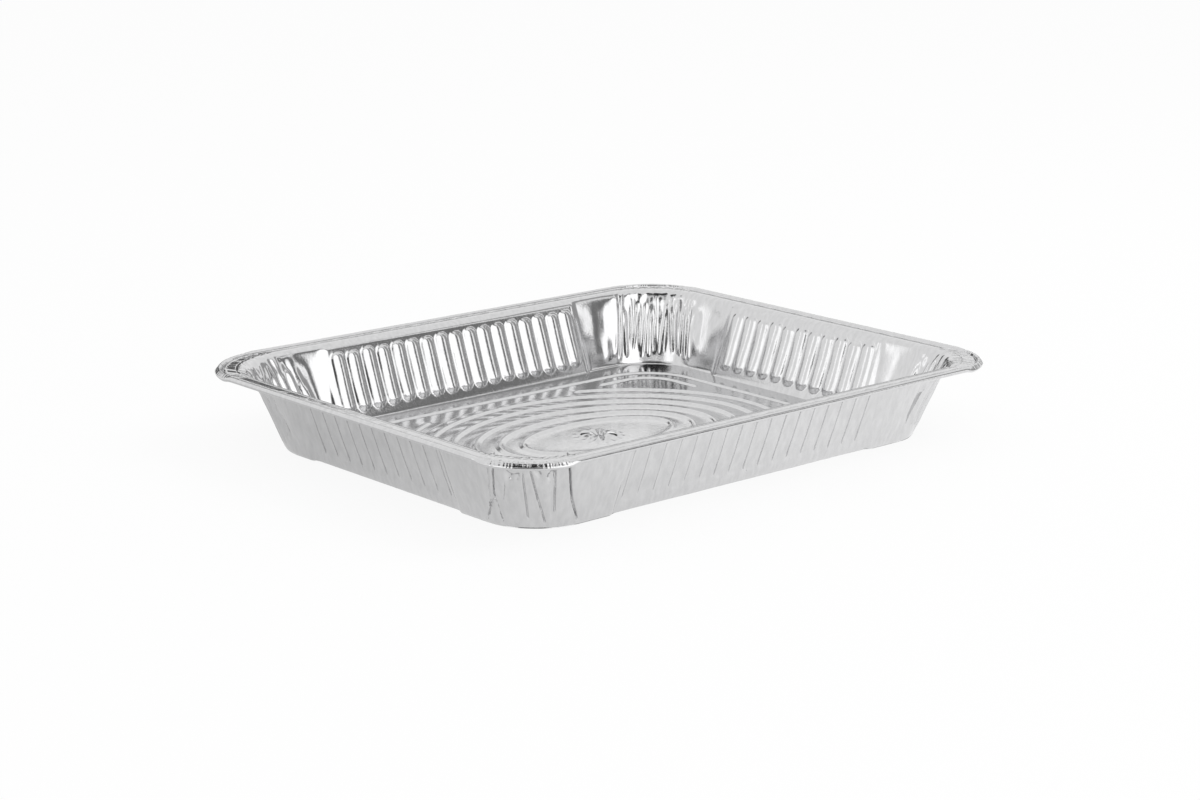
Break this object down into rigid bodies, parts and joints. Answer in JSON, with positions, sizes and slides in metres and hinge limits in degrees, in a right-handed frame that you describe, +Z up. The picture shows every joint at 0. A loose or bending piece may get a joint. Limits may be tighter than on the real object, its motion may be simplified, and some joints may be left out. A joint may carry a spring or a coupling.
{
  "type": "foil tray",
  "caption": "Shallow rectangular aluminium foil tray with a rolled rim, ribbed leaning walls, pleated corners and raised ovals on its floor, for baking and serving food.",
  "frame": {"origin": "centre of the tray's outline, on the plane that the base rests on", "axes": "+X along the long sides, +Y along the short sides, +Z up out of the open top"},
  "size_m": [0.324, 0.2636, 0.04],
  "materials": {
    "foil": "bright rolled foil, lightly mottled"
  },
  "bodies": {
    "root": {"foil_tray": "foil"}
  },
  "joints": []
}
